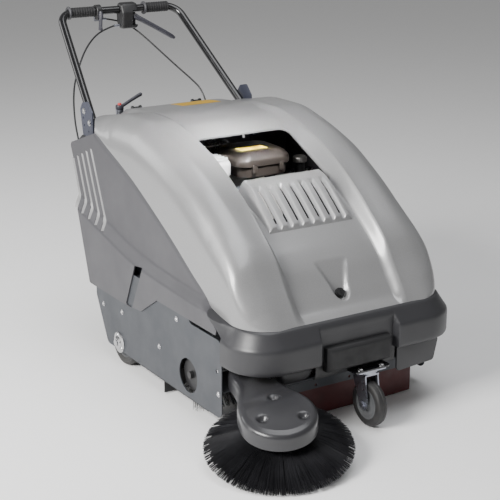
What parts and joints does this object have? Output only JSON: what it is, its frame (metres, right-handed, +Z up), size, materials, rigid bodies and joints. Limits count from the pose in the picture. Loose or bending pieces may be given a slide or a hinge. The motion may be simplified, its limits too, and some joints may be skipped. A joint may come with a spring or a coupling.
{
  "type": "walk behind sweeper",
  "caption": "Petrol walk-behind sweeper: hinged hood over the engine, side brush on a lifting arm, main brush, rear drive wheels, swivel caster, rear hopper and tubular handlebar.",
  "frame": {"origin": "on the floor under the middle of the machine without its two cables", "axes": "+X to the operator's left, +Y to the rear where the operator walks, +Z up; the bumper faces -Y"},
  "size_m": [0.8326, 1.6161, 0.9728],
  "materials": {
    "hood_silver": "silver-grey glossy moulding",
    "body_grey": "dark grey fine-grained plastic",
    "black_plastic": "black plastic",
    "frame_grey": "blue-grey powder coat",
    "black_paint": "black powder coat",
    "zinc": "zinc plated",
    "steel": "bare steel",
    "cast_alloy": "cast and machined alloy",
    "black_rubber": "black rubber",
    "red_rubber": "red rubber",
    "tyre": "black tyre",
    "bristle": "black polypropylene bristle",
    "red_plastic": "red plastic",
    "cleaner_brown": "dark brown-black plastic",
    "filter_paper": "pleated filter paper",
    "cable_black": "black cable sheath"
  },
  "bodies": {
    "chassis": {"air_cleaner": "cleaner_brown", "arm_pivot": "zinc", "brush_tunnel": "frame_grey", "bumper_pad": "black_plastic", "carburettor": "cast_alloy", "caster_plate": "zinc", "deck_fittings": "zinc", "drive_belts": "black_rubber", "dust_filter": "filter_paper", "engine_crankcase": "cast_alloy", "engine_cylinder": "cast_alloy", "engine_deck": "frame_grey", "fan_housing": "black_plastic", "fan_shroud": "cast_alloy", "frame_plates": "frame_grey", "front_bumper": "body_grey", "front_crossmember": "black_paint", "front_fairings": "body_grey", "fuel_tank": "black_plastic", "handle_brackets": "frame_grey", "handle_grips": "black_plastic", "handlebar": "black_paint", "hex_screws": "zinc", "hinges": "zinc", "lever_housings": "black_plastic", "lift_cable": "cable_black", "muffler": "black_paint", "rear_cowl": "body_grey", "recoil_starter": "black_plastic", "rubber_skirts": "black_rubber", "shaft_bearings": "zinc", "side_panels": "body_grey", "traction_cable": "cable_black"},
    "hood": {"hood_shell": "hood_silver"},
    "hood_lock": {"hood_lock": "black_plastic"},
    "drive_axle": {"axle_shaft": "steel", "rear_rims": "zinc", "rear_tyres": "tyre"},
    "main_brush": {"main_brush_core": "black_paint", "main_brush_bristles": "bristle", "brush_pulley": "black_paint"},
    "crank": {"crank_pulley": "black_paint"},
    "fan": {"fan_impeller": "black_plastic"},
    "caster_swivel": {"caster_fork": "zinc", "caster_axle_bolt": "zinc"},
    "caster_wheel": {"caster_rim": "black_plastic", "caster_tyre": "tyre"},
    "side_brush_lift": {"side_brush_arm": "body_grey", "side_brush_drive": "zinc"},
    "side_brush": {"side_brush_disc": "black_plastic", "side_brush_bristles": "bristle"},
    "front_flap": {"front_flap": "red_rubber", "flap_strip": "zinc"},
    "hopper": {"hopper_bin": "body_grey", "hopper_fascia": "body_grey"},
    "fuel_cap": {"fuel_cap": "black_plastic"},
    "traction_lever": {"traction_lever": "black_paint"},
    "thumb_lever": {"thumb_lever": "black_plastic"},
    "clamp_lever": {"clamp_lever": "frame_grey"},
    "clamp_button": {"clamp_button": "red_plastic"}
  },
  "joints": [
    {"name": "hood_open", "type": "hinge", "parent": "chassis", "child": "hood", "pos_m": [0.06631, 0.47408, 0.69], "axis": [-1, 0, 0], "range_deg": [0, 60]},
    {"name": "lock_turn", "type": "hinge", "parent": "hood", "child": "hood_lock", "pos_m": [0.06631, -0.45592, 0.346], "axis": [0, -0.8, 0.6], "range_deg": [0, 90]},
    {"name": "axle_roll", "type": "hinge", "parent": "chassis", "child": "drive_axle", "pos_m": [0.06631, 0.17008, 0.07], "axis": [1, 0, 0], "continuous": true},
    {"name": "main_brush_spin", "type": "hinge", "parent": "chassis", "child": "main_brush", "pos_m": [0.06631, -0.23592, 0.108], "axis": [1, 0, 0], "continuous": true},
    {"name": "crank_spin", "type": "hinge", "parent": "chassis", "child": "crank", "pos_m": [0.06631, 0.13808, 0.48], "axis": [1, 0, 0], "continuous": true},
    {"name": "fan_spin", "type": "hinge", "parent": "chassis", "child": "fan", "pos_m": [0.06631, -0.12192, 0.444], "axis": [1, 0, 0], "continuous": true},
    {"name": "caster_swivel", "type": "hinge", "parent": "chassis", "child": "caster_swivel", "pos_m": [0.09831, -0.53392, 0.15], "axis": [0, 0, 1], "continuous": true},
    {"name": "caster_roll", "type": "hinge", "parent": "caster_swivel", "child": "caster_wheel", "pos_m": [0.09831, -0.55392, 0.062], "axis": [1, 0, 0], "continuous": true},
    {"name": "side_brush_raise", "type": "hinge", "parent": "chassis", "child": "side_brush_lift", "pos_m": [-0.21369, -0.38692, 0.172], "axis": [-1, 0, 0], "range_deg": [0, 11]},
    {"name": "side_brush_spin", "type": "hinge", "parent": "side_brush_lift", "child": "side_brush", "pos_m": [-0.22769, -0.61692, 0.04191], "axis": [-0.12, -0.1724, 0.9777], "continuous": true},
    {"name": "flap_swing", "type": "hinge", "parent": "chassis", "child": "front_flap", "pos_m": [0.09431, -0.43392, 0.112], "axis": [1, 0, 0], "range_deg": [-8, 35]},
    {"name": "hopper_pull", "type": "slide", "parent": "chassis", "child": "hopper", "axis": [0, 1, 0], "range_m": [0, 0.45]},
    {"name": "fuel_cap_turn", "type": "hinge", "parent": "chassis", "child": "fuel_cap", "pos_m": [0.27031, 0.03808, 0.56], "axis": [0, 0, 1], "range_deg": [0, 90]},
    {"name": "traction_lever_squeeze", "type": "hinge", "parent": "chassis", "child": "traction_lever", "pos_m": [0.11631, 0.76408, 0.924], "axis": [0, -0.8197, 0.5728], "range_deg": [0, 25], "stiffness_Nm_per_rad": 1, "springref_deg": -20.05},
    {"name": "thumb_lever_turn", "type": "hinge", "parent": "chassis", "child": "thumb_lever", "pos_m": [-0.01269, 0.76208, 0.944], "axis": [0, 1, 0], "range_deg": [0, 60]},
    {"name": "clamp_lever_turn", "type": "hinge", "parent": "chassis", "child": "clamp_lever", "pos_m": [-0.09369, 0.47808, 0.7], "axis": [0, 0, 1], "range_deg": [0, 80]},
    {"name": "clamp_button_press", "type": "slide", "parent": "clamp_lever", "child": "clamp_button", "axis": [0, 0, -1], "range_m": [0, 0.0025], "stiffness_N_per_m": 400, "springref_m": -0.001}
  ],
  "couplings": [
    {"joint": "crank_spin", "follows": "main_brush_spin", "ratio": 2},
    {"joint": "fan_spin", "follows": "main_brush_spin", "ratio": 2.8333},
    {"joint": "side_brush_spin", "follows": "main_brush_spin", "ratio": -0.35},
    {"joint": "thumb_lever_turn", "follows": "side_brush_raise", "ratio": 5}
  ]
}
